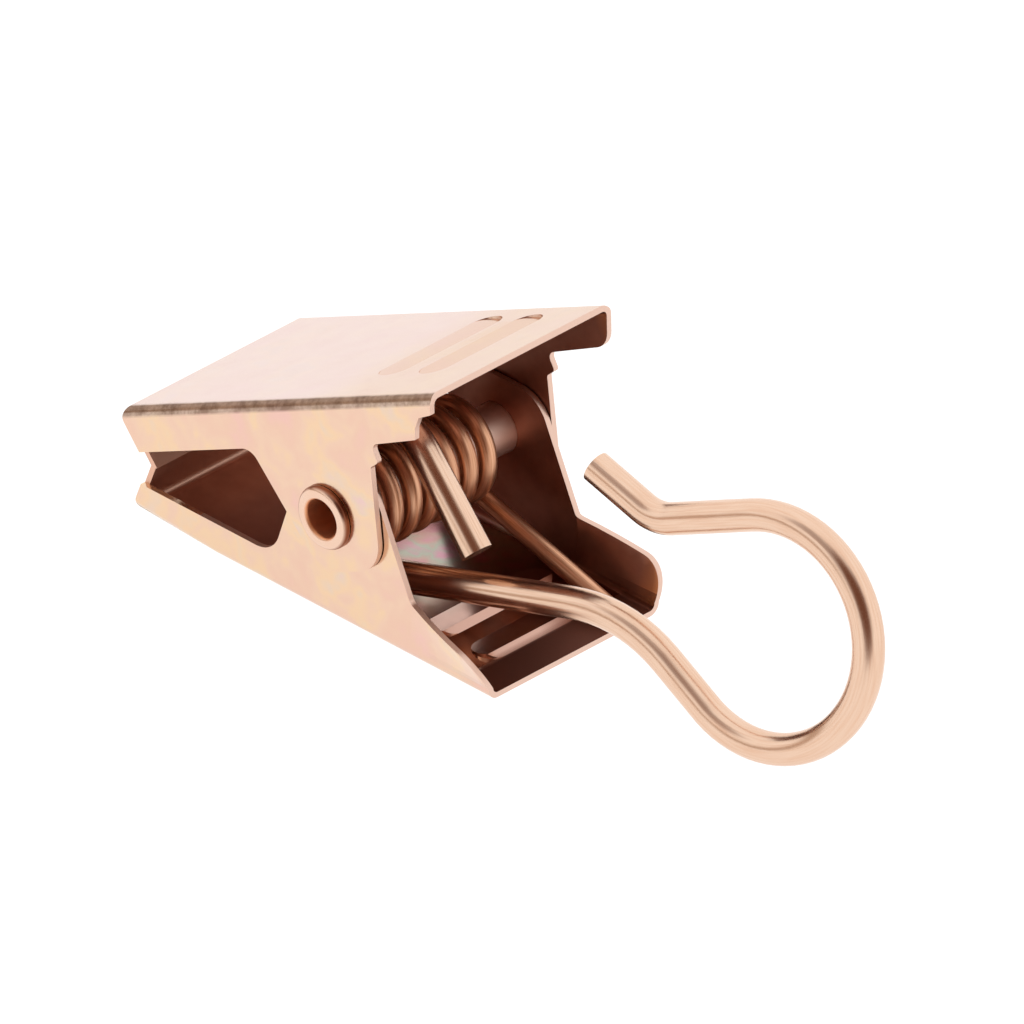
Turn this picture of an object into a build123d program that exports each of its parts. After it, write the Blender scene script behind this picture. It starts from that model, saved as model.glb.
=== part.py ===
from build123d import *
from math import acos, atan2, cos, degrees, hypot, radians, sin, tan
import os

os.makedirs("parts", exist_ok=True)

# Sheet metal of the two jaws
sheet = 0.3
bend_r = 0.6
upper_lean = 15.0
lower_lean = 21.0
plate_angle = 24.9
pin_height = 5.9
upper_front = 13.0
lower_front = 13.75
floor_rise = 0.3
rise_from = 8.0
lip_gap = 0.05
lip_reach = 1.5
ear_end = 2.85
ear_round = 2.0
ear_front = 1.7
ear_rear = 2.7
ear_root = 4.0
upper_fillet = 0.9
lower_fillet = 1.6
upper_wing_fillet = 1.2
lower_wing_fillet = 1.8
edge_fillet = 0.4
step_fillet = 0.2

# Widths: the lower jaw's flanges run inside the upper jaw's
upper_width = 12.2
flange_gap = 0.06
lower_width = upper_width - 2 * (sheet + flange_gap)

# Rear halves, squeezed between finger and thumb
upper_rear = 10.3
upper_edge = 3.6
upper_wing = [(4.95, 3.55), (9.5, 3.75)]
upper_notch = [(8.3, 3.7), (8.6, 4.3), (9.1, 4.8), (10.3, 4.95)]
lower_rear = 10.6
lower_edge = 4.0
lower_wing = [(5.3, 2.75), (10.55, 3.75)]
wing_flare = 0.85
upper_step = [(4.4, 2.4), (5.05, 2.6)]

# Ribs pressed into each plate
upper_ribs = (3.5, 6.5)
lower_ribs = (4.6, 7.6)
upper_shift = 0.9
lower_shift = 0.3
rib_length = 7.7
rib_width = 1.9
rib_depth = 0.25
rib_back = 0.4

# Hollow rivet
tube_r = 1.3
bore_r = 1.0
head_r = 1.65
head_thick = 0.4
head_fillet = 0.3
mouth_fillet = 0.2
pin_gap = 0.03
end_gap = 0.03

# Torsion spring
spring_wire = 0.95
coil_r = 2.22
coil_pitch = 1.26
coil_turns = 6
coil_near = -4.53
leg_bend = 3.0
leg_turn = 0.4
low_leg_at = 9.6
high_leg_at = 5.2
leg_gap = 0.02

# Hook of bent round wire
hook_wire = 1.6
hook_lean = 14.0
hook_yaw = 8.3
eye_y = -2.5
eye_r = 4.15
eye_from = 283.35
eye_to = 46.8
eye_rise = 1.0
eye_tail = (6.7, -0.6)
elbow_at = (14.88, -0.75)
elbow_r = 8.0
loop_at = (23.04, 1.24)
loop_r = 5.69
loop_from = -116.5
loop_to = 113.3
neck_at = (15.65, 4.29)
neck_r = 2.5
tip_at = (11.7, 5.56)


def side_prism(points, width):
    """Solid with the given outline seen from the side, across the whole width."""
    return extrude(Plane.XZ * make_face(Polyline(*points, close=True)), width / 2, both=True)


def bent_block(front, rear, top, width, radius, lean, rise):
    """Block with a leaning front wall, its plate bent down at the front and both sides."""
    low = -ear_end - 1
    corner = (front + rise * tan(radians(lean)), top - rise)
    foot = (front + (top - low) * tan(radians(lean)), low)
    rising = [(-rise_from, top)] if rise else []
    block = side_prism([(rear, top), *rising, corner, foot, (rear, low)], width)
    bends = block.edges().filter_by(lambda e: abs(e.center().Y) > 0.1 or e.center().X < corner[0] + 0.1)
    bends = bends.filter_by(lambda e: e.center().X < rear - 0.1 and e.center().Z > top - rise - 0.1)
    return fillet(bends, radius)


def lip_edge(x):
    """Height at which a lip ends, half the gap short of the plane where the jaws meet."""
    return -x * tan(radians(plate_angle / 2)) + lip_gap / 2


def lip_back(front, lean, edge):
    """How far back the front wall reaches at the height of the flanges' free edge."""
    return -front + (pin_height - edge) * tan(radians(lean)) + lip_reach


def jaw_outline(front, lean, rear, edge, root_fillet, step, wing, wing_fillet):
    """Side outline of a jaw, pin at the origin and plate above it."""
    top = pin_height + 1
    out = -front - 1
    lip_in = lip_back(front, lean, edge)
    corners = [
        (rear, top, 0),
        (out, top, 0),
        (out, lip_edge(out), 0),
        (lip_in, lip_edge(lip_in), 0),
        (lip_in, edge, 0),
        (-ear_root, edge, root_fillet),
        (-ear_front, -ear_end, ear_round),
        (ear_rear, -ear_end, ear_round),
        *[(*point, step_fillet) for point in step],
        (*wing[0], edge_fillet),
        (*wing[1], wing_fillet),
        (rear, pin_height - sheet, 0),
    ]
    face = make_face(Polyline(*[c[:2] for c in corners], close=True))
    for x, z, radius in corners:
        if radius:
            face = fillet(face.vertices().sort_by_distance((x, z, 0))[0], radius)
    return extrude(Plane.XZ * face, upper_width, both=True)


def flared_wing(width, rear, wing):
    """Rear end of one flange, leaning outwards more and more towards the rear."""
    top = pin_height - bend_r
    low = wing[0][1] - 0.5
    out = width / 2
    foot = out + wing_flare / (top - wing[1][1]) * (top - low)
    root = make_face(Polyline((out - sheet, top), (out, top), (out, low), (out - sheet, low), close=True))
    splayed = [(out - sheet, top), (out, top), (foot, low), (foot - sheet, low)]
    end = make_face(Polyline(*splayed, close=True))
    return loft([Plane.YZ.offset(wing[0][0]) * root, Plane.YZ.offset(rear) * end], ruled=True)


def pressed(part, ribs, shift):
    """The jaw with finger ribs pressed inwards across its plate, and the rivet's hole."""
    part -= Rot(90, 0, 0) * Cylinder(tube_r + pin_gap, 2 * upper_width)
    front = -rib_width / 2
    wedge = side_prism([(front, 0), (-front, 0), (-front - rib_back, -rib_depth)], 2 * rib_length)
    rib = wedge & extrude(SlotOverall(rib_length, rib_width, rotation=90), sheet, both=True)
    for x in ribs:
        part -= Pos(x, shift, pin_height) * rib
        part += Pos(x, shift, pin_height - sheet) * rib
    return part


def channel(width, front, lean, rear, edge, rise):
    """Folded blank: plate, two flanges, and a front wall that goes on alone below the flanges."""
    inner_front = -front + sheet * tan(radians(lean)) + sheet / cos(radians(lean))
    inner = width - 2 * sheet
    part = bent_block(-front, rear, pin_height, width, bend_r, lean, rise)
    part -= bent_block(inner_front, rear + 1, pin_height - sheet, inner, bend_r - sheet, lean, rise)
    back = lip_back(front, lean, edge)
    below = side_prism([(-front, edge), (back, edge), (back, -front), (-front, -front)], 2 * width)
    return part - (below - Box(4 * front, inner, 4 * front))


def upper_jaw():
    ends = (upper_front, upper_lean, upper_rear, upper_edge)
    outline = jaw_outline(*ends, upper_fillet, upper_step, upper_wing, upper_wing_fillet)
    near = [*upper_notch, (upper_rear, 0), (upper_notch[0][0], 0)]
    outline -= Pos(0, -upper_width / 2, 0) * side_prism(near, upper_width / 2)
    return pressed(channel(upper_width, *ends, 0) & outline, upper_ribs, upper_shift)


def lower_jaw():
    """Turned over and a little narrower, its rear wings splayed."""
    ends = (lower_front, lower_lean, lower_rear, lower_edge)
    outline = jaw_outline(*ends, lower_fillet, [], lower_wing, lower_wing_fillet)
    wing = flared_wing(lower_width, lower_rear, lower_wing)
    depth = 2 * pin_height
    straight = Pos(lower_wing[0][0], 0, pin_height - bend_r) * Box(
        lower_rear, 2 * lower_width, depth, align=(Align.MIN, Align.CENTER, Align.MAX)
    )
    part = channel(lower_width, *ends, floor_rise) - straight
    part += [wing, mirror(wing, about=Plane.XZ)]
    return mirror(pressed(part & outline, lower_ribs, lower_shift), about=Plane.XY)


def pivot_rivet():
    """Hollow rivet: a tube through all four ears, both ends rolled over into heads."""
    seat = upper_width / 2 + end_gap
    end = seat + head_thick
    points = [(bore_r, -end), (head_r, -end), (head_r, -seat), (tube_r, -seat)]
    points += [(x, -y) for x, y in reversed(points)]
    face = make_face(Polyline(*points, close=True))
    for y in (-end, end):
        face = fillet(face.vertices().sort_by_distance((head_r, y, 0))[0], head_fillet)
        face = fillet(face.vertices().sort_by_distance((bore_r, y, 0))[0], mouth_fillet)
    return revolve(face, Axis.Y)


def leaves_coil(x, y, side):
    """Angle on the coil at which a straight leg to the given point leaves it."""
    return degrees(atan2(y, x) + side * acos(coil_r / hypot(x, y)))


def coil_end(angle, height, way):
    """Point on the coil and the bend corner a little further along its tangent."""
    a = radians(angle)
    point = Vector(coil_r * cos(a), coil_r * sin(a), height)
    run = Vector(coil_r * sin(a), -coil_r * cos(a), coil_pitch / radians(360)).normalized()
    return point, point + run * (way * leg_turn)


def torsion_spring():
    """Coil round the rivet; one leg stands on the floor, the other under the upper plate."""
    under = pin_height - sheet - spring_wire / 2 - leg_gap
    phi = radians(plate_angle)
    high = (high_leg_at * cos(phi) - under * sin(phi), -high_leg_at * sin(phi) - under * cos(phi))
    low = (low_leg_at, under)
    coil_from = leaves_coil(*high, -1)
    coil_to = leaves_coil(*low, 1)
    length = coil_pitch * (coil_turns + (coil_from - coil_to) % 360 / 360)
    start, start_corner = coil_end(coil_from, coil_near, -1)
    end, end_corner = coil_end(coil_to, coil_near + length, 1)
    helix = Rot(0, 0, coil_from) * Helix(coil_pitch, length, coil_r, lefthand=True)
    helix = Pos(0, 0, coil_near) * helix
    upper_leg = FilletPolyline((*high, start_corner.Z), start_corner, start, radius=leg_bend)
    lower_leg = FilletPolyline(end, end_corner, (*low, end_corner.Z), radius=leg_bend)
    path = Wire(upper_leg.edges() + helix.edges() + lower_leg.edges())
    wire = sweep((path ^ 0) * Circle(spring_wire / 2), path=path)
    return Plane((0, 0, 0), x_dir=(1, 0, 0), z_dir=(0, 1, 0)) * wire


def on_circle(centre, radius, angle):
    return Vector(centre[0] + radius * cos(radians(angle)), centre[1] + radius * sin(radians(angle)))


def hook():
    """Wire bent into an eye round the coil, a shank, and an open loop for the ring."""
    step = (eye_from - eye_to) / 4
    eye = []
    for i in range(4):
        corner = on_circle((0, 0), eye_r / cos(radians(step / 2)), eye_from - step * (i + 0.5))
        eye.append(Vector(corner.X, corner.Y, eye_rise * i / 3))
    tail = Vector(*eye_tail, eye_rise)
    mid = (eye[0] + Vector(*elbow_at)) * 0.5
    turn = on_circle(loop_at, loop_r, loop_from)
    leave = on_circle(loop_at, loop_r, loop_to)
    far = on_circle(loop_at, loop_r, (loop_from + loop_to) / 2)
    path = Wire(
        FilletPolyline(tail, *reversed(eye), mid, radius=0.96 * eye_r).edges()
        + FilletPolyline(mid, elbow_at, turn, radius=elbow_r).edges()
        + ThreePointArc(turn, far, leave).edges()
        + FilletPolyline(leave, neck_at, tip_at, radius=neck_r).edges()
    )
    lean = radians(hook_lean)
    yaw = radians(hook_yaw)
    normal = Vector(sin(yaw) * cos(lean), -cos(yaw) * cos(lean), sin(lean))
    along = Vector(1, 0, 0) - normal * normal.X
    wire = sweep((path ^ 0) * Circle(hook_wire / 2), path=path)
    return Plane((0, eye_y, 0), x_dir=along, z_dir=normal) * wire


at_pin = Pos(0, 0, pin_height)
nodes = {
    "upper_jaw": Rot(0, -plate_angle, 0) * upper_jaw(),
    "lower_jaw": lower_jaw(),
    "pivot_rivet": pivot_rivet(),
    "torsion_spring": torsion_spring(),
    "hook": hook(),
}
for name, shape in nodes.items():
    export_step(at_pin * shape, f"parts/{name}.step")
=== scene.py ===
# %% [markdown]
# A curtain clip of copper plated steel: two folded sheet jaws on a hollow rivet, a torsion spring
# round the rivet, and a hook of round wire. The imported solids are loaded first. They fix where each
# piece is and how it turns, so everything below is built in their frame, in metres.

# %% Load the frame
from math import acos, atan2, cos, hypot, pi, radians, sin, tan

import bmesh
import bpy
from mathutils import Matrix, Vector


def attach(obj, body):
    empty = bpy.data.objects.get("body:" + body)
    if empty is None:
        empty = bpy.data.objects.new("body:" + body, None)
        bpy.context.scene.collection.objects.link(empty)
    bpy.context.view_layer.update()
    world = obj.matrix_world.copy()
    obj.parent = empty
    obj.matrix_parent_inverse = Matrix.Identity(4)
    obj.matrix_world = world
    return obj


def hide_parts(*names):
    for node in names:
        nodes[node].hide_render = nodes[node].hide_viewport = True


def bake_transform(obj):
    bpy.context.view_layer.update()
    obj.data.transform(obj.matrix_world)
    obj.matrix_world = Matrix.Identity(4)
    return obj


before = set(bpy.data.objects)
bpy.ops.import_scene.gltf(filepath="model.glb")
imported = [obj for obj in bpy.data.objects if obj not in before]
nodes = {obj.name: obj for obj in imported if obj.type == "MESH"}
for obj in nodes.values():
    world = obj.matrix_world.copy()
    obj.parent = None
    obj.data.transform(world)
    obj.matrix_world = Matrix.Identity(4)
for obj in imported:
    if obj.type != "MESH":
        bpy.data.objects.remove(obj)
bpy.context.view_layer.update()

MM = 0.001

# %% [markdown]
# Every material needs the same things. Colours are written as sRGB hex, as picked from a swatch, but
# shaders want linear light, so one function converts them. Another adds a node with its settings and
# links, so that a material can be read from top to bottom.

# %% Helpers for materials


def hexa(code):
    """Linear RGBA from an sRGB hex code."""
    parts = [int(code[i:i + 2], 16) / 255 for i in (0, 2, 4)]
    return [c / 12.92 if c <= 0.04045 else ((c + 0.055) / 1.055) ** 2.4 for c in parts] + [1.0]


def add(tree, kind, inputs=None, stops=(), **settings):
    """One node. An input is a value, a hex colour, a socket, or a node, whose first live output is used."""
    node = tree.nodes.new(kind)
    for key, value in settings.items():
        setattr(node, key, value)
    for i, (place, code) in enumerate(stops):
        marks = node.color_ramp.elements
        mark = marks[i] if i < 2 else marks.new(place)
        mark.position = place
        mark.color = hexa(code)
    for key, value in (inputs or {}).items():
        socket = node.inputs[key]
        if isinstance(value, bpy.types.Node):
            value = next(s for s in value.outputs if s.enabled)
        if isinstance(value, bpy.types.NodeSocket):
            tree.links.new(value, socket)
        elif socket.type == "RGBA" and isinstance(value, str):
            socket.default_value = hexa(value)
        else:
            socket.default_value = value
    return node


def new_material(name):
    """Node material with nothing in it yet."""
    mat = bpy.data.materials.new(name)
    mat.use_nodes = True
    mat.node_tree.nodes.clear()
    return mat, mat.node_tree


print("white is", hexa("FFFFFF"))

# %% [markdown]
# The jaws are pressed from thin steel sheet, then barrel plated with bright copper and lacquered. The
# same sheet looks different in four places: the bright outside, the brown inside, which is thin plating
# darkened further by painted shade, the raw cut edges, and the bends, which carry a painted shade. These
# places could be painted by hand. Here they are found from where the surface is and which way it
# faces, so that both jaws share one rule. For that, each jaw is seen from the pin with its plate level.

# %% Level frame of a jaw
PIN_HEIGHT = 5.9
PIN = Vector((0, 0, PIN_HEIGHT)) * MM
PLATE_ANGLE = radians(24.9)


def jaw_frame(tree, turn, flip):
    """Place and facing in the level frame, and height and rise counted towards the jaw's plate."""
    where = add(tree, "ShaderNodeTexCoord").outputs
    tilt = (0, turn, 0)
    lifted = add(tree, "ShaderNodeVectorMath", {0: where["Object"], 1: PIN}, operation="SUBTRACT")
    level = add(tree, "ShaderNodeMapping", {"Vector": lifted, "Rotation": tilt})
    facing = add(tree, "ShaderNodeMapping", {"Vector": where["Normal"], "Rotation": tilt})
    at = add(tree, "ShaderNodeSeparateXYZ", {0: level}).outputs
    to = add(tree, "ShaderNodeSeparateXYZ", {0: facing}).outputs
    height = add(tree, "ShaderNodeMath", {0: at["Z"], 1: flip}, operation="MULTIPLY")
    up = add(tree, "ShaderNodeMath", {0: to["Z"], 1: flip}, operation="MULTIPLY")
    return {"level": level, "at": at, "to": to, "height": height, "up": up}


print("plate tilt in the upper jaw's frame", round(PLATE_ANGLE, 3), "rad")

# %% [markdown]
# A mask is a number from 0 to 1 that says where a finish shows. Each one here joins two questions:
# which way the sheet faces, where 1 means squarely, and how far it is from the pin. Map Range makes
# a soft step from the first, and Greater Than or Less Than a hard one from the second.

# %% Masks for the inside of a jaw
FRONT_WALL = -9.0 * MM
PLATE_FROM, PLATE_INSIDE = 4.9 * MM, 5.61 * MM


def inner_masks(tree, jaw, half):
    """Inside of the sides, the front wall that closes the mouth, and inside of the plate."""
    at, to, height = jaw["at"], jaw["to"], jaw["height"]
    side = add(tree, "ShaderNodeMath", {0: at["Y"]}, operation="SIGN")
    outward = add(tree, "ShaderNodeMath", {0: to["Y"], 1: side}, operation="MULTIPLY")
    inward = add(tree, "ShaderNodeMapRange", {"Value": outward, "From Min": -0.2, "From Max": -0.6})
    within = add(tree, "ShaderNodeMath", {0: height, 1: PLATE_INSIDE}, operation="LESS_THAN")
    flange = add(tree, "ShaderNodeMath", {0: inward, 1: within}, operation="MULTIPLY")

    front = add(tree, "ShaderNodeMath", {0: at["X"], 1: FRONT_WALL}, operation="LESS_THAN")
    backward = add(tree, "ShaderNodeMapRange", {"Value": to["X"], "From Min": 0.5, "From Max": 0.8})
    wall_back = add(tree, "ShaderNodeMath", {0: backward, 1: front}, operation="MULTIPLY")
    off_middle = add(tree, "ShaderNodeMath", {0: at["Y"]}, operation="ABSOLUTE")
    recessed = add(tree, "ShaderNodeMath", {0: off_middle, 1: half}, operation="LESS_THAN")
    sideways = add(tree, "ShaderNodeMapRange", {"Value": outward, "From Min": 0.6, "From Max": 0.9})
    wall_end = add(tree, "ShaderNodeMath", {0: recessed, 1: front}, operation="MULTIPLY")
    wall_end = add(tree, "ShaderNodeMath", {0: wall_end, 1: sideways}, operation="MULTIPLY")
    wall = add(tree, "ShaderNodeMath", {0: wall_back, 1: wall_end}, operation="MAXIMUM")
    sides = add(tree, "ShaderNodeMath", {0: flange, 1: wall}, operation="MAXIMUM")

    below = add(tree, "ShaderNodeMapRange", {"Value": jaw["up"], "From Min": -0.2, "From Max": -0.6})
    near_plate = add(tree, "ShaderNodeMath", {0: height, 1: PLATE_FROM}, operation="GREATER_THAN")
    plate = add(tree, "ShaderNodeMath", {0: below, 1: near_plate}, operation="MULTIPLY")
    return {"near_plate": near_plate, "front": front, "backward": backward,
            "wall": wall, "sides": sides, "plate": plate}


print("front wall before", FRONT_WALL / MM, "mm, plate from", PLATE_FROM / MM, "mm above the pin")

# %% [markdown]
# A cut edge is only as wide as the sheet is thick, but it is bare and pale, so it outlines the whole
# stamping. It faces along the jaw, as nothing else does away from the plate and the front wall. The
# bends between plate and sides are where the sheet faces half up and half across, so the product of
# the two finds them.

# %% Masks for edges and bends
REAR_EDGE = 9.0 * MM


def edge_masks(tree, jaw):
    """Cut edges, which face along the jaw, and bends, which face half up and half across."""
    across = add(tree, "ShaderNodeMath", {0: jaw["to"]["Y"]}, operation="ABSOLUTE")
    free = add(tree, "ShaderNodeMapRange", {"Value": across, "From Min": 0.5, "From Max": 0.25})
    for place in ("near_plate", "front"):
        free = add(tree, "ShaderNodeMath", {0: free, 1: jaw[place]}, operation="SUBTRACT", use_clamp=True)
    rear = add(tree, "ShaderNodeMath", {0: jaw["at"]["X"], 1: REAR_EDGE}, operation="GREATER_THAN")
    rear_edge = add(tree, "ShaderNodeMath", {0: jaw["backward"], 1: rear}, operation="MULTIPLY")
    edges = add(tree, "ShaderNodeMath", {0: free, 1: rear_edge}, operation="MAXIMUM")

    slant = add(tree, "ShaderNodeMath", {0: jaw["up"], 1: across}, operation="MULTIPLY")
    turned = add(tree, "ShaderNodeMapRange", {"Value": slant, "From Min": 0.1, "From Max": 0.3})
    bends = add(tree, "ShaderNodeMath", {0: turned, 1: jaw["near_plate"]}, operation="MULTIPLY")
    return {"edges": edges, "bends": bends}


print("rear edge after", REAR_EDGE / MM, "mm")

# %% [markdown]
# Plating and lacquer are never even. The film of lacquer blushes in blotches of over two millimetres,
# water stains are smaller, rub marks are half a millimetre, and the pressed sheet itself has long low
# waves. Each is a noise whose scale comes from that size. The finish also changes along the jaw, so
# a few soft steps between two places are kept beside the noises.

# %% Patterns and steps on the sheet
# Each pattern: size in mm, then the noise's detail, roughness and distortion.
PATTERNS = {"blush": (2.38, 3.0, 0.5, 0.2), "stain": (1.43, 4.0, 0.5, 0.0),
            "grain": (0.526, 4.0, 0.7, 0.0), "waves": (3.33, 2.0, 0.5, 0.0)}
# Each step: axis, and the two places in mm between which it rises.
STEPS = {"from_front": ("X", -3.5, -1.5), "to_rear": ("X", 0.5, 4.5), "behind_ribs": ("X", 8.3, 8.7),
         "at_tip": ("X", 9.2, 10.4), "to_far": ("Y", 0.0, 2.0)}


def sheet_patterns(tree, jaw):
    """Noises and steps by name, in the jaw's level frame."""
    made = {}
    for name, (size, detail, rough, swirl) in PATTERNS.items():
        made[name] = add(tree, "ShaderNodeTexNoise", {
            "Vector": jaw["level"], "Scale": 1 / (size * MM),
            "Detail": detail, "Roughness": rough, "Distortion": swirl})
    for name, (axis, start, end) in STEPS.items():
        made[name] = add(tree, "ShaderNodeMapRange", {
            "Value": jaw["at"][axis], "From Min": start * MM, "From Max": end * MM})
    return made


print("patterns", list(PATTERNS), "steps", list(STEPS))

# %% [markdown]
# A thin lacquer film turns bright copper faintly pink, yellow and grey green. Such a film could be
# computed from its thickness, but its colours would be hard to steer, so the outside takes its colour
# from a ramp of near tints. The plate, where the sheet faces up, has a tint of its own.

# %% Lacquered outside
FILM = [(0.30, "E6BCAE"), (0.42, "E5BFA9"), (0.52, "E6C3AB"),
        (0.60, "E9C7A5"), (0.68, "E2C7B0"), (0.78, "E2BFBB")]
PLATE_REAR, PLATE_SHARE = "D8B8A2", 0.7


def lacquered_outside(tree, jaw, plate_tint):
    """Film colours, with the plate in a tint of its own that warms to the rear."""
    film = add(tree, "ShaderNodeValToRGB", {"Fac": jaw["blush"]}, FILM)
    top = add(tree, "ShaderNodeMix", {"Factor": jaw["to_rear"], "A": plate_tint, "B": PLATE_REAR},
              data_type="RGBA")
    on_top = add(tree, "ShaderNodeMapRange", {
        "Value": jaw["up"], "From Min": 0.75, "From Max": 0.9, "To Max": PLATE_SHARE})
    return add(tree, "ShaderNodeMix", {"Factor": on_top, "A": film, "B": top}, data_type="RGBA")


print("film of", len(FILM), "tints")

# %% [markdown]
# Inside, the bath hardly reaches and the plating is thin, so the steel below makes it brown; that brown
# is also painted shade inside the jaw, and the wing's tip and the front wall are lightened as painted
# light. The floor under the coil lay open to the bath and keeps its film. Further back it is darkened
# towards the far side and the rear as painted shade. The colours are laid over each other by the soft
# steps, so that none ends in a line.

# %% Thin plating and painted shade inside
# Browns of thin plating and painted shade, painted light at wing tip and wall, painted shade to the rear.
BROWN, WING_TIP_PAINTED_LIGHT, LIT_WALL = ("98604E", "BC8670"), "D48C5E", "E0B49C"
PLATE_SHADE_NEAR, PLATE_SHADE_FAR, PLATE_SHADE_REAR = "C49C8C", "7A4A3A", "663A2C"


def thin_plating_and_painted_shade(tree, jaw, inner_stops):
    """Brown sides with painted shade, painted light at the wing tip and front wall, and the plate inside.
    """
    sides = add(tree, "ShaderNodeMix", {"Factor": jaw["stain"], "A": BROWN[0], "B": BROWN[1]},
                data_type="RGBA")
    for place, colour in (("at_tip", WING_TIP_PAINTED_LIGHT), ("wall", LIT_WALL)):
        sides = add(tree, "ShaderNodeMix", {"Factor": jaw[place], "A": sides, "B": colour},
                    data_type="RGBA")
    film = add(tree, "ShaderNodeValToRGB", {"Fac": jaw["blush"]}, inner_stops)
    painted_shade = add(tree, "ShaderNodeMix", {"Factor": jaw["to_far"], "A": PLATE_SHADE_NEAR, "B": PLATE_SHADE_FAR},
               data_type="RGBA")
    painted_shade = add(tree, "ShaderNodeMix", {"Factor": jaw["behind_ribs"], "A": painted_shade, "B": PLATE_SHADE_REAR},
               data_type="RGBA")
    plate = add(tree, "ShaderNodeMix", {"Factor": jaw["from_front"], "A": sides, "B": film},
                data_type="RGBA")
    plate = add(tree, "ShaderNodeMix", {"Factor": jaw["to_rear"], "A": plate, "B": painted_shade},
                data_type="RGBA")
    return sides, plate


print("brown from", BROWN[0], "to", BROWN[1], "and worn to", PLATE_SHADE_REAR)

# %% [markdown]
# On the bends a grey brown is painted in as painted shade along each bend, mottled like patina. The
# marks are uneven, so two noises of different size are added before they are turned into colour.

# %% Painted shade on the bends
# Grey browns of the painted shade on the bends.
BEND_SHADE = ("B8A090", "7A6050")


def bend_shade_marks(tree, jaw, bend_shade_share):
    """Painted shade of the bends in streaky marks, and how much of it shows."""
    marks = add(tree, "ShaderNodeMath", {0: jaw["grain"], 1: jaw["stain"]}, operation="ADD")
    marks = add(tree, "ShaderNodeMapRange", {"Value": marks, "From Min": 0.85, "From Max": 1.2})
    bend_shade_colour = add(tree, "ShaderNodeMix", {"Factor": marks, "A": BEND_SHADE[0], "B": BEND_SHADE[1]},
                 data_type="RGBA")
    share = add(tree, "ShaderNodeMapRange", {"Value": jaw["bends"], "To Max": bend_shade_share})
    return bend_shade_colour, share


print("patina from", BEND_SHADE[0], "to", BEND_SHADE[1])

# %% [markdown]
# Gloss tells bright plating from thin plating even where the colours are close: the outside and the
# floor under the coil mirror the room, the rest is dull. Dust is the only thing here that is no
# metal, which is why it shows as pale specks on the dark insides of the plates.

# %% Gloss and dust of the sheet
BRIGHT_FROM, BRIGHT_TO, DULL = 0.14, 0.22, 0.45
# One cell in five of 1.25 mm holds a speck of some 0.2 mm, coarser than real dust so that it shows.
DUST_CELL, DUST_FROM, DUST_METAL = 1.25, 0.8, 0.3


def sheet_gloss(tree, jaw):
    """Roughness: bright plating with faint stains, dull where the plating is thin or cut."""
    bright = add(tree, "ShaderNodeMapRange", {
        "Value": jaw["stain"], "From Min": 0.3, "From Max": 0.7,
        "To Min": BRIGHT_FROM, "To Max": BRIGHT_TO})
    open_floor = {0: jaw["from_front"], 1: jaw["behind_ribs"]}
    shiny = add(tree, "ShaderNodeMath", open_floor, operation="SUBTRACT")
    deep = add(tree, "ShaderNodeMath", {0: jaw["plate"], 1: shiny}, operation="SUBTRACT", use_clamp=True)
    dull = add(tree, "ShaderNodeMath", {0: jaw["sides"], 1: jaw["edges"]}, operation="MAXIMUM")
    dull = add(tree, "ShaderNodeMath", {0: dull, 1: deep}, operation="MAXIMUM")
    return add(tree, "ShaderNodeMix", {"Factor": dull, "A": bright, "B": DULL}, data_type="FLOAT")


def bare_of_dust(tree, jaw):
    """Metallic: full, but low on the specks that lie inside the plate."""
    cells = {"Vector": jaw["level"], "Scale": 1 / (DUST_CELL * MM)}
    dots = add(tree, "ShaderNodeTexVoronoi", cells).outputs
    small = add(tree, "ShaderNodeMapRange", {
        "Value": dots["Distance"], "From Min": 0.10, "From Max": 0.06})
    pick = add(tree, "ShaderNodeSeparateColor", {0: dots["Color"]})
    few = add(tree, "ShaderNodeMath", {0: pick, 1: DUST_FROM}, operation="GREATER_THAN")
    dust = add(tree, "ShaderNodeMath", {0: small, 1: few}, operation="MULTIPLY")
    dust = add(tree, "ShaderNodeMath", {0: dust, 1: jaw["plate"]}, operation="MULTIPLY")
    return add(tree, "ShaderNodeMapRange", {"Value": dust, "To Min": 1.0, "To Max": DUST_METAL})


print("dust in", round(1 - DUST_FROM, 1), "of the cells")

# %% [markdown]
# Now the layers go on in this order: film, thin plating with its painted shade and light, cut edge, and
# the painted shade of the bends. The two jaws have the same finish, but the upper plate is greyer and
# its bends carry more painted shade, and the lower floor shows the most colour.

# %% Plated sheet
CUT_EDGE = "E2C1B0"
# The upper ramp is brown of thin plating and painted shade under the plate.
UPPER_INSIDE = [(0.35, "98604E"), (0.65, "B07A64")]
LOWER_INSIDE = [(0.35, "C08890"), (0.46, "BA988E"), (0.56, "A8A898"), (0.66, "C2929C")]
# The front wall is set in from the sides, so it ends nearer to the middle than this.
UPPER_HALF, LOWER_HALF = 5.95 * MM, 5.6 * MM
WAVE_DEPTH, RUB_DEPTH = 0.02 * MM, 0.01 * MM


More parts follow.
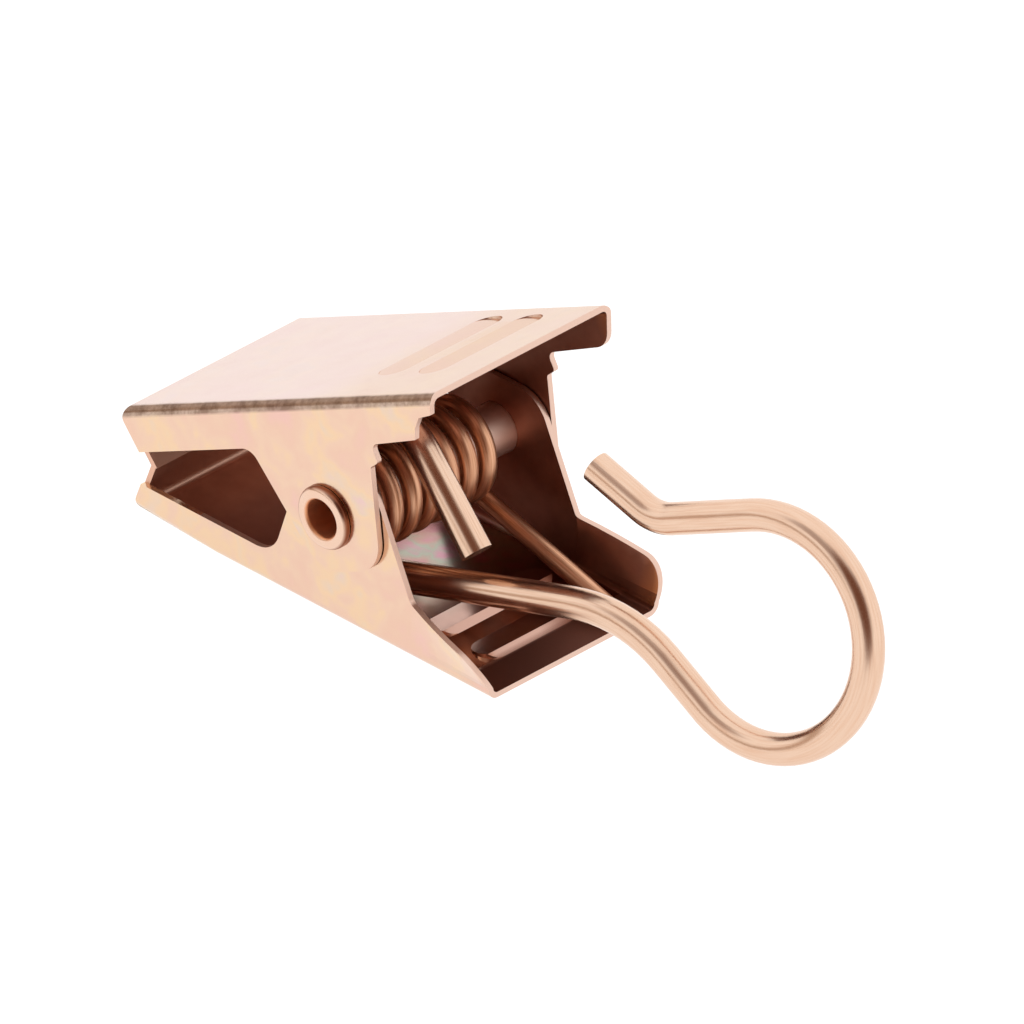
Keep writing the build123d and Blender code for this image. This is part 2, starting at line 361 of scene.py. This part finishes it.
def plated_sheet(name, turn, flip, half, inner_stops, plate_tint, bend_shade_share):
    """Bright copper plate: gloss of plating, blush of lacquer, brown of thin plating and painted shade."""
    mat, tree = new_material(name)
    jaw = jaw_frame(tree, turn, flip)
    jaw.update(inner_masks(tree, jaw, half))
    jaw.update(edge_masks(tree, jaw))
    jaw.update(sheet_patterns(tree, jaw))
    colour = lacquered_outside(tree, jaw, plate_tint)
    sides, plate = thin_plating_and_painted_shade(tree, jaw, inner_stops)
    # Inside, the browns carry painted shade and light; the bends carry painted shade.
    bend_shade_colour, bend_shade_and_rubs = bend_shade_marks(tree, jaw, bend_shade_share)
    layers = ((jaw["sides"], sides), (jaw["plate"], plate), (jaw["edges"], CUT_EDGE), (bend_shade_and_rubs, bend_shade_colour))
    for mask, over in layers:
        colour = add(tree, "ShaderNodeMix", {"Factor": mask, "A": colour, "B": over}, data_type="RGBA")
    bump = add(tree, "ShaderNodeBump", {"Strength": 0.5, "Distance": WAVE_DEPTH, "Height": jaw["waves"]})
    bump = add(tree, "ShaderNodeBump", {
        "Strength": 0.4, "Distance": RUB_DEPTH, "Height": bend_shade_and_rubs, "Normal": bump})
    shader = add(tree, "ShaderNodeBsdfPrincipled", {
        "Base Color": colour, "Roughness": sheet_gloss(tree, jaw),
        "Metallic": bare_of_dust(tree, jaw), "Normal": bump})
    add(tree, "ShaderNodeOutputMaterial", {"Surface": shader})
    return mat


sheet_upper = plated_sheet("bright copper plate on pressed steel, upper", turn=PLATE_ANGLE, flip=1.0,
                           half=UPPER_HALF, inner_stops=UPPER_INSIDE, plate_tint="DCC2BC", bend_shade_share=0.85)
sheet_lower = plated_sheet("bright copper plate on pressed steel, lower", turn=0.0, flip=-1.0,
                           half=LOWER_HALF, inner_stops=LOWER_INSIDE, plate_tint="E6C3AB", bend_shade_share=0.1)
print("sheet materials", sheet_upper.name, "/", sheet_lower.name)

# %% [markdown]
# The jaws and the rivet already have their true shape in the solids, so they are not modelled again.
# A copy of each is welded and its cut edges get a tiny bevel, because a stamped edge is never knife
# sharp and the bevel catches the light line that runs round every edge of real sheet. A shallow
# crease between two wide faces stays crisp, so that no shading runs from one face into the other.

# %% Jaws and rivet with broken edges
WELD = 0.001 * MM
SAME_PLANE, CREASE, BEVEL_FROM = radians(0.5), radians(3), radians(30)
WIDE, SHEET_BEVEL = 0.3 * MM, 0.06 * MM


def edge_broken(name, node, material, body, width):
    """Copy of a CAD node with its sharp edges beveled, riding on the given body."""
    mesh = nodes[node].data.copy()
    form = bmesh.new()
    form.from_mesh(mesh)
    bmesh.ops.remove_doubles(form, verts=form.verts, dist=WELD)
    bmesh.ops.dissolve_limit(form, angle_limit=SAME_PLANE, verts=form.verts, edges=form.edges)
    creases = 0
    for edge in form.edges:
        if len(edge.link_faces) == 2 and edge.calc_face_angle() > CREASE:
            if all(2 * f.calc_area() / f.calc_perimeter() > WIDE for f in edge.link_faces):
                edge.smooth = False
                creases += 1
    form.to_mesh(mesh)
    form.free()
    piece = bpy.data.objects.new(name, mesh)
    bpy.context.scene.collection.objects.link(piece)
    mesh.materials.clear()
    mesh.materials.append(material)
    mesh.shade_smooth()
    bevel = piece.modifiers.new("broken edge", "BEVEL")
    bevel.width = width
    bevel.segments = 2
    bevel.angle_limit = BEVEL_FROM
    flat = piece.modifiers.new("flat faces stay flat", "WEIGHTED_NORMAL")
    flat.keep_sharp = True
    flat.weight = 100
    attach(piece, body)
    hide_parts(node)
    print(name, len(mesh.polygons), "faces", creases, "edges kept crisp")
    return piece


upper = edge_broken("upper_jaw_sheet", "upper_jaw", sheet_upper, "upper_jaw", SHEET_BEVEL)
lower = edge_broken("lower_jaw_sheet", "lower_jaw", sheet_lower, "lower_jaw", SHEET_BEVEL)

# %% [markdown]
# The spring and the hook are drawn wire. Drawing leaves fine lines along the wire and a colder,
# darker shine where the die dragged. An image wrapped round the wire could show them. A noise needs
# no image: it only has to know where it is along the wire and round it, so that it can be stretched.
# The wire maker below stores both as attributes.

# %% Drawn wire
# Lines are a seventh of the wire's radius wide, which is 0.11 mm on the hook and 0.07 mm on the
# spring, and 2.4 mm long. Real ones are finer, and these are as coarse as they need to be to show.
LINES, LINE_LENGTH, LINE_DEPTH = 7.0, 2.38, 0.008 * MM


def drawn_wire(name, light, dark, rough):
    """Drawn wire, copper plated: bright along its crown, with faint streaks that run with the wire."""
    mat, tree = new_material(name)
    ring = add(tree, "ShaderNodeAttribute", attribute_name="section").outputs["Vector"]
    run = add(tree, "ShaderNodeAttribute", attribute_name="along").outputs["Fac"]
    slow = add(tree, "ShaderNodeMath", {0: run, 1: 1 / (LINES * LINE_LENGTH * MM)}, operation="MULTIPLY")
    drift = add(tree, "ShaderNodeCombineXYZ", {"Z": slow})
    place = add(tree, "ShaderNodeVectorMath", {0: ring, 1: drift}, operation="ADD")
    lines = add(tree, "ShaderNodeTexNoise", {
        "Vector": place, "Scale": LINES, "Detail": 3.0, "Roughness": 0.5})
    streak = add(tree, "ShaderNodeMapRange", {"Value": lines, "From Min": 0.4, "From Max": 0.8})
    colour = add(tree, "ShaderNodeMix", {"Factor": streak, "A": light, "B": dark}, data_type="RGBA")
    gloss = add(tree, "ShaderNodeMapRange", {
        "Value": lines, "From Min": 0.3, "From Max": 0.7, "To Min": rough, "To Max": rough + 0.06})
    bump = add(tree, "ShaderNodeBump", {"Strength": 0.5, "Distance": LINE_DEPTH, "Height": lines})
    shader = add(tree, "ShaderNodeBsdfPrincipled", {
        "Base Color": colour, "Roughness": gloss, "Metallic": 1.0, "Normal": bump})
    add(tree, "ShaderNodeOutputMaterial", {"Surface": shader})
    return mat


hook_metal = drawn_wire("copper plated drawn wire, hook", light="E4C3AB", dark="DCB296", rough=0.2)
# The spring wire has darker, duller colours than the hook.
spring_metal = drawn_wire("copper plated spring wire, darker than the hook", light="E0AC8A", dark="B07452", rough=0.36)
print("wire materials", hook_metal.name, "/", spring_metal.name)

# %% [markdown]
# A bent wire is straight runs joined by arcs, which is what a forming tool makes. A smooth curve
# through a few points would bulge between them, so the path is written as corner points with a bend
# radius each, and every corner is replaced by its arc.

# %% Path of a bent wire
ARC_STEP = radians(5)


def bent(points, radii):
    """Points along straight runs whose corners are rounded with the given radii."""
    points = [Vector(p) for p in points]
    path = [points[0]]
    for before, corner, after, radius in zip(points, points[1:], points[2:], radii):
        u = (before - corner).normalized()
        v = (after - corner).normalized()
        half = u.angle(v) / 2
        middle = corner + (u + v).normalized() * (radius / sin(half))
        turn = pi - 2 * half
        first = corner + u * (radius / tan(half)) - middle
        axis = u.cross(v).normalized()
        count = max(3, int(turn / ARC_STEP) + 1)
        for i in range(count + 1):
            path.append(middle + Matrix.Rotation(-turn * i / count, 3, axis) @ first)
    return path + [points[-1]]


print("a right angle takes", len(bent([(0, 0, 0), (1, 0, 0), (1, 1, 0)], [0.5])), "points")

# %% [markdown]
# A Geometry Nodes tree sweeps a circle along the path. Both wires share it and differ only in its
# inputs. It also stores the length along the path and the place on the circle, which the finish of
# the drawn wire reads.

# %% Sweep of a round wire


def wire_tree():
    """Geometry Nodes: edges to a round wire with end caps."""
    tree = bpy.data.node_groups.new("drawn_wire_sweep", "GeometryNodeTree")
    face = tree.interface
    face.new_socket("Path", in_out="INPUT", socket_type="NodeSocketGeometry")
    face.new_socket("Wire radius", in_out="INPUT", socket_type="NodeSocketFloat")
    face.new_socket("Sides", in_out="INPUT", socket_type="NodeSocketInt")
    face.new_socket("Finish", in_out="INPUT", socket_type="NodeSocketMaterial")
    face.new_socket("Wire", in_out="OUTPUT", socket_type="NodeSocketGeometry")
    start = add(tree, "NodeGroupInput").outputs
    line = add(tree, "GeometryNodeMeshToCurve", {0: start["Path"]})
    length = add(tree, "GeometryNodeSplineParameter").outputs["Length"]
    run = add(tree, "GeometryNodeStoreNamedAttribute",
              {"Geometry": line, "Name": "along", "Value": length}, data_type="FLOAT", domain="POINT")
    ring = add(tree, "GeometryNodeCurvePrimitiveCircle", {"Resolution": start["Sides"], "Radius": 1.0})
    spot = add(tree, "GeometryNodeInputPosition")
    mark = add(tree, "GeometryNodeStoreNamedAttribute",
               {"Geometry": ring, "Name": "section", "Value": spot},
               data_type="FLOAT_VECTOR", domain="POINT")
    radius = start["Wire radius"]
    scale = add(tree, "ShaderNodeCombineXYZ", {"X": radius, "Y": radius, "Z": radius})
    sized = add(tree, "GeometryNodeTransform", {"Geometry": mark, "Scale": scale})
    tube = add(tree, "GeometryNodeCurveToMesh", {"Curve": run, "Profile Curve": sized, "Fill Caps": True})
    real = add(tree, "GeometryNodeRealizeInstances", {0: tube})
    done = add(tree, "GeometryNodeSetMaterial", {"Geometry": real, "Material": start["Finish"]})
    add(tree, "NodeGroupOutput", {0: done})
    return tree


WIRE_TREE = wire_tree()
print("tree", WIRE_TREE.name, "with", len(WIRE_TREE.nodes), "nodes")

# %% [markdown]
# The swept wire is turned into a plain mesh, because the export takes meshes. Its sides are shaded
# smooth. Its cut ends stay flat, as a cutter leaves them, so their rims are set sharp.

# %% Wire as a plain mesh


def wire_piece(name, path, radius, sides, material):
    """Plain mesh of a wire along the path, its cut ends flat."""
    mesh = bpy.data.meshes.new(name + "_path")
    mesh.from_pydata(path, [(i, i + 1) for i in range(len(path) - 1)], [])
    draft = bpy.data.objects.new(name + "_path", mesh)
    bpy.context.scene.collection.objects.link(draft)
    sweep = draft.modifiers.new("sweep", "NODES")
    sweep.node_group = WIRE_TREE
    values = {"Wire radius": radius, "Sides": sides, "Finish": material}
    for item in WIRE_TREE.interface.items_tree:
        if item.name in values:
            sweep[item.identifier] = values[item.name]
    ready = draft.evaluated_get(bpy.context.evaluated_depsgraph_get())
    made = bpy.data.meshes.new_from_object(ready)
    bpy.data.objects.remove(draft)
    form = bmesh.new()
    form.from_mesh(made)
    for face in form.faces:
        face.smooth = len(face.verts) == 4
        if len(face.verts) > 4:
            for edge in face.edges:
                edge.smooth = False
    bmesh.ops.recalc_face_normals(form, faces=form.faces)
    form.to_mesh(made)
    form.free()
    piece = bpy.data.objects.new(name, made)
    bpy.context.scene.collection.objects.link(piece)
    print(name, len(path), "path points", len(made.polygons), "faces")
    return piece


# %% [markdown]
# The hook is bent flat from one length of wire, and then hangs in a plane that leans and is turned a
# little, as its loose eye lets it. So its corners are easiest to give in that plane, in millimetres
# from the middle of the eye, and one function carries them into the frame.

# %% Plane of the hook
LEAN, YAW = radians(14.0), radians(8.3)
EYE = Vector((0, -2.5, PIN_HEIGHT))
hook_normal = Vector((sin(YAW) * cos(LEAN), -cos(YAW) * cos(LEAN), sin(LEAN)))
hook_x = (Vector((1, 0, 0)) - hook_normal * hook_normal.x).normalized()
hook_y = hook_normal.cross(hook_x)


def on_hook(p, q, n=0.0):
    """Point of the frame from its place along, up and out of the hook's plane."""
    return (EYE + hook_x * p + hook_y * q + hook_normal * n) * MM


print("hook plane faces", [round(c, 3) for c in hook_normal])

# %% [markdown]
# From its free end the wire runs through the eye that goes round the coil, the shank, the loop for
# the curtain ring, the neck, and the turned-out tip. The eye is bent in four strokes and steps aside
# by a little at each, so that the free end passes beside the shank.

# %% Hook
FREE_END, EYE_R, EYE_BENDS, EYE_ASIDE = (6.7, -0.6), 4.15, 4, 1.0
EYE_FROM, EYE_TO = radians(46.8), radians(283.35)
ELBOW, ELBOW_R = (14.88, -0.75), 8.0
LOOP_AT, LOOP_R, LOOP_STEPS = (23.04, 1.24), 5.69, 48
LOOP_FROM, LOOP_TO = radians(-116.5), radians(113.3)
NECK, NECK_R, TIP = (15.65, 4.29), 2.5, (11.7, 5.56)
HOOK_WIRE_R, HOOK_SIDES = 0.8, 40

stroke = (EYE_TO - EYE_FROM) / EYE_BENDS
reach = EYE_R / cos(stroke / 2)
eye = []
for i in range(EYE_BENDS):
    a = EYE_FROM + stroke * (i + 0.5)
    aside = EYE_ASIDE * (EYE_BENDS - 1 - i) / (EYE_BENDS - 1)
    eye.append(on_hook(reach * cos(a), reach * sin(a), aside))
elbow = on_hook(*ELBOW)
middle = (eye[-1] + elbow) / 2
angles = [LOOP_FROM + (LOOP_TO - LOOP_FROM) * i / LOOP_STEPS for i in range(LOOP_STEPS + 1)]
loop = [on_hook(LOOP_AT[0] + LOOP_R * cos(a), LOOP_AT[1] + LOOP_R * sin(a)) for a in angles]
# The eye's bends are a little tighter than its radius, which leaves short straights between them.
hook_path = bent([on_hook(*FREE_END, EYE_ASIDE), *eye, middle], [0.96 * EYE_R * MM] * EYE_BENDS)[:-1]
hook_path += bent([middle, elbow, loop[0]], [ELBOW_R * MM])[:-1] + loop
hook_path += bent([loop[-1], on_hook(*NECK), on_hook(*TIP)], [NECK_R * MM])[1:]
hook = wire_piece("hook_wire", hook_path, HOOK_WIRE_R * MM, HOOK_SIDES, hook_metal)
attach(hook, "hook")
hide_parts("hook")

# %% [markdown]
# The torsion spring is an open helix on the rivet. Each end leaves it at a tangent as a straight
# leg: one stands on the floor of the lower jaw, the other under the upper plate, so squeezing the
# jaws winds the coil up. The angles at which the legs leave are worked out from where their ends
# have to stand, which keeps both seated when a size changes.

# %% Path of the torsion spring
SHEET, SPRING_WIRE_R, SEAT_GAP = 0.3, 0.475, 0.02
PITCH, COIL, NEAR, TURNS, COIL_STEPS = 1.26, 2.22, -4.53, 6, 360
UPPER_LEG, LOWER_LEG, LEG_BEND, LEG_LEAD = 5.2, 9.6, 3.0, 0.4


def leaves_coil(x, z, side):
    """Angle on the coil at which a straight leg to the given point leaves it."""
    return atan2(z, x) + side * acos(COIL / hypot(x, z))


def on_coil(turn):
    """Point on the helix, counted from where the upper leg leaves."""
    a = top_angle + turn
    return Vector((COIL * cos(a), NEAR + PITCH * turn / (2 * pi), PIN_HEIGHT + COIL * sin(a)))


seat = PIN_HEIGHT - SHEET - SPRING_WIRE_R - SEAT_GAP
high = (UPPER_LEG * cos(PLATE_ANGLE) - seat * sin(PLATE_ANGLE),
        UPPER_LEG * sin(PLATE_ANGLE) + seat * cos(PLATE_ANGLE))
low = (LOWER_LEG, -seat)
top_angle = leaves_coil(*high, 1)
total = 2 * pi * TURNS + (leaves_coil(*low, -1) - top_angle) % (2 * pi)
coil = [on_coil(total * i / COIL_STEPS) for i in range(COIL_STEPS + 1)]
first = coil[0] + (coil[0] - coil[1]).normalized() * LEG_LEAD
last = coil[-1] + (coil[-1] - coil[-2]).normalized() * LEG_LEAD
near_leg = bent([(high[0], first.y, PIN_HEIGHT + high[1]), first, coil[0]], [LEG_BEND])
far_leg = bent([coil[-1], last, (low[0], last.y, PIN_HEIGHT + low[1])], [LEG_BEND])
spring_path = [p * MM for p in near_leg[:-1] + coil + far_leg[1:]]
print("coil of", round(total / (2 * pi), 2), "turns")

# %% [markdown]
# One leg has to move with each jaw, and the coil between them winds up. Here the wire is made as one
# mesh in the frame, with its place baked into the mesh.

# %% Torsion spring
SPRING_SIDES = 28
spring = wire_piece("torsion_spring_wire", spring_path, SPRING_WIRE_R * MM, SPRING_SIDES, spring_metal)
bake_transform(spring)
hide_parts("torsion_spring")

# %% [markdown]
# The hollow rivet is turned over at both ends. It is plated with the jaws. To the eye its heads are
# bright from the rolling tool, the flanks of their rims are dark with painted shade, the tube between
# the ears is painted pale as painted light and is dull, and the bore is brown inside. All of that is
# told from the distance to the middle and from whether the surface faces away from the pin or towards it.

# %% Rivet
# Smears of the rolling tool, in mm across.
SMEAR = 1.11
TUBE_HALF, TUBE_DULL = 5.6 * MM, 0.5
RIVET_BEVEL = 0.03 * MM

rivet_metal, tree = new_material("bright copper plate, rolled rivet")
where = add(tree, "ShaderNodeTexCoord").outputs
lifted = add(tree, "ShaderNodeVectorMath", {0: where["Object"], 1: PIN}, operation="SUBTRACT")
round_pin = add(tree, "ShaderNodeVectorMath", {0: lifted, 1: (1, 0, 1)}, operation="MULTIPLY")
radial = add(tree, "ShaderNodeVectorMath", {0: round_pin}, operation="NORMALIZE")
outward = add(tree, "ShaderNodeVectorMath", {0: radial, 1: where["Normal"]}, operation="DOT_PRODUCT")
bore = add(tree, "ShaderNodeMapRange", {"Value": outward, "From Min": -0.3, "From Max": -0.8})
wall = add(tree, "ShaderNodeMapRange", {"Value": outward, "From Min": 0.5, "From Max": 0.9})
off_middle = add(tree, "ShaderNodeSeparateXYZ", {0: lifted}).outputs["Y"]
off_middle = add(tree, "ShaderNodeMath", {0: off_middle}, operation="ABSOLUTE")
tube = add(tree, "ShaderNodeMath", {0: off_middle, 1: TUBE_HALF}, operation="LESS_THAN")
rim_painted_shade = add(tree, "ShaderNodeMath", {0: wall, 1: tube}, operation="SUBTRACT", use_clamp=True)
inner = add(tree, "ShaderNodeMath", {0: tube, 1: bore}, operation="MAXIMUM")

smear = add(tree, "ShaderNodeTexNoise", {"Vector": lifted, "Scale": 1 / (SMEAR * MM), "Detail": 3.0})
tint = add(tree, "ShaderNodeMix", {"Factor": smear, "A": "E6BFA6", "B": "EACBB6"}, data_type="RGBA")
# The tube's pale colour is painted light, the heads' dark flanks painted shade.
for mask, over in ((tube, "F6D4C2"), (bore, "E4A276"), (rim_painted_shade, "8C543C")):
    tint = add(tree, "ShaderNodeMix", {"Factor": mask, "A": tint, "B": over}, data_type="RGBA")
gloss = add(tree, "ShaderNodeMapRange", {
    "Value": smear, "From Min": 0.3, "From Max": 0.7, "To Min": 0.18, "To Max": 0.3})
rough = add(tree, "ShaderNodeMix", {"Factor": inner, "A": gloss, "B": TUBE_DULL}, data_type="FLOAT")
shader = add(tree, "ShaderNodeBsdfPrincipled", {"Base Color": tint, "Roughness": rough, "Metallic": 1.0})
add(tree, "ShaderNodeOutputMaterial", {"Surface": shader})
rivet = edge_broken("rivet_tube", "pivot_rivet", rivet_metal, "lower_jaw", RIVET_BEVEL)

# %% [markdown]
# The clip lies on a sheet of white acrylic that is lit from below, as on a light table. To the eye
# that is an even white without shadows, so the floor glows and has hardly any colour or shine of its
# own. It lies a hair below the clip, so that the two surfaces do not fight.

# %% Floor
FLOOR_R, FLOOR_DROP, GLOW = 0.25, 0.02 * MM, 1.06
floor_mesh = bpy.data.meshes.new("floor")
disc = bmesh.new()
bmesh.ops.create_circle(disc, cap_ends=True, segments=96, radius=FLOOR_R)
disc.to_mesh(floor_mesh)
disc.free()
floor = bpy.data.objects.new("floor", floor_mesh)
floor.location.z = -FLOOR_DROP
bpy.context.scene.collection.objects.link(floor)
acrylic, tree = new_material("white acrylic, lit from below")
shader = add(tree, "ShaderNodeBsdfPrincipled", {
    "Base Color": "595959", "Roughness": 0.9, "Specular IOR Level": 0.0,
    "Emission Color": "FFFFFF", "Emission Strength": GLOW})
add(tree, "ShaderNodeOutputMaterial", {"Surface": shader})
floor_mesh.materials.append(acrylic)
print("lit table of", round(max(floor.dimensions), 2), "m")

# %% [markdown]
# Polished metal shows its surroundings more than itself. Lamps alone would leave it black between
# their reflections, so the clip stands in a white tent, drawn as the world's colour by direction. A
# darker strip low down, where the room shows, draws the lines along the wires and bends. The opening
# for the camera and a seam beside it darken what faces them, such as the crowns of the wires.

# %% Light
LOW_WALL, STRIP = (-0.83, -0.55, 0), "B49E8C"
OPENING, SEAM, ROOM = (0.60, -0.60, 0.52), (-0.08, -0.64, 0.76), "6A4432"
SOFT, TENT_LIGHT = "SMOOTHSTEP", 1.18

world = bpy.data.worlds.new("white tent")
bpy.context.scene.world = world
world.use_nodes = True
tree = world.node_tree
tree.nodes.clear()
way = add(tree, "ShaderNodeTexCoord").outputs["Generated"]
rise = add(tree, "ShaderNodeSeparateXYZ", {0: way}).outputs["Z"]
left = add(tree, "ShaderNodeVectorMath", {0: way, 1: LOW_WALL}, operation="DOT_PRODUCT")
# The strip lies above the table's rim, below the tent's wall, and to one side only.
above = add(tree, "ShaderNodeMapRange", {"Value": rise, "From Min": 0.05, "From Max": 0.10},
            interpolation_type=SOFT)
below = add(tree, "ShaderNodeMapRange", {"Value": rise, "From Min": 0.34, "From Max": 0.22},
            interpolation_type=SOFT)
beside = add(tree, "ShaderNodeMapRange", {"Value": left, "From Min": 0.45, "From Max": 0.75},
             interpolation_type=SOFT)
band = add(tree, "ShaderNodeMath", {0: above, 1: below}, operation="MULTIPLY")
strip = add(tree, "ShaderNodeMath", {0: band, 1: beside}, operation="MULTIPLY")
walls = add(tree, "ShaderNodeMix", {"Factor": strip, "A": "FFFFFF", "B": STRIP}, data_type="RGBA")
opening = add(tree, "ShaderNodeVectorMath", {0: way, 1: OPENING}, operation="DOT_PRODUCT")
opening = add(tree, "ShaderNodeMapRange", {"Value": opening, "From Min": 0.70, "From Max": 0.93},
              interpolation_type=SOFT)
seam = add(tree, "ShaderNodeVectorMath", {0: way, 1: SEAM}, operation="DOT_PRODUCT")
seam = add(tree, "ShaderNodeMapRange", {
    "Value": seam, "From Min": 0.93, "From Max": 0.98, "To Max": 0.65}, interpolation_type=SOFT)
dark = add(tree, "ShaderNodeMath", {0: opening, 1: seam}, operation="MAXIMUM")
tent = add(tree, "ShaderNodeMix", {"Factor": dark, "A": walls, "B": ROOM}, data_type="RGBA")
sky = add(tree, "ShaderNodeBackground", {"Color": tent, "Strength": TENT_LIGHT})
add(tree, "ShaderNodeOutputWorld", {"Surface": sky})
bpy.context.scene.view_settings.view_transform = "Standard"
print("tent of", len(tree.nodes), "nodes")

# %% [markdown]
# The photograph was taken with a long lens from the hook's side, so lines along the rivet stay
# nearly parallel. An orthographic camera would do for that, but a far one with a long lens keeps the
# little perspective that is there.

# %% Camera
AZIMUTH, ELEVATION, DISTANCE = radians(45.0), radians(31.6), 2.0
AIM = Vector((7.81, -1.40, 7.50)) * MM
SENSOR, PIXELS, PIXELS_PER_MM = 36.0, 1024, 21.0
back = Vector((sin(AZIMUTH) * cos(ELEVATION), -cos(AZIMUTH) * cos(ELEVATION), sin(ELEVATION)))
lens = bpy.data.cameras.new("camera")
lens.sensor_width = SENSOR
lens.lens = SENSOR * DISTANCE / (PIXELS / PIXELS_PER_MM * MM)
lens.clip_start = 0.01
camera = bpy.data.objects.new("camera", lens)
camera.location = AIM + back * DISTANCE
camera.rotation_euler = back.to_track_quat("Z", "Y").to_euler()
bpy.context.scene.collection.objects.link(camera)
bpy.context.scene.camera = camera
print("lens", round(lens.lens), "mm")
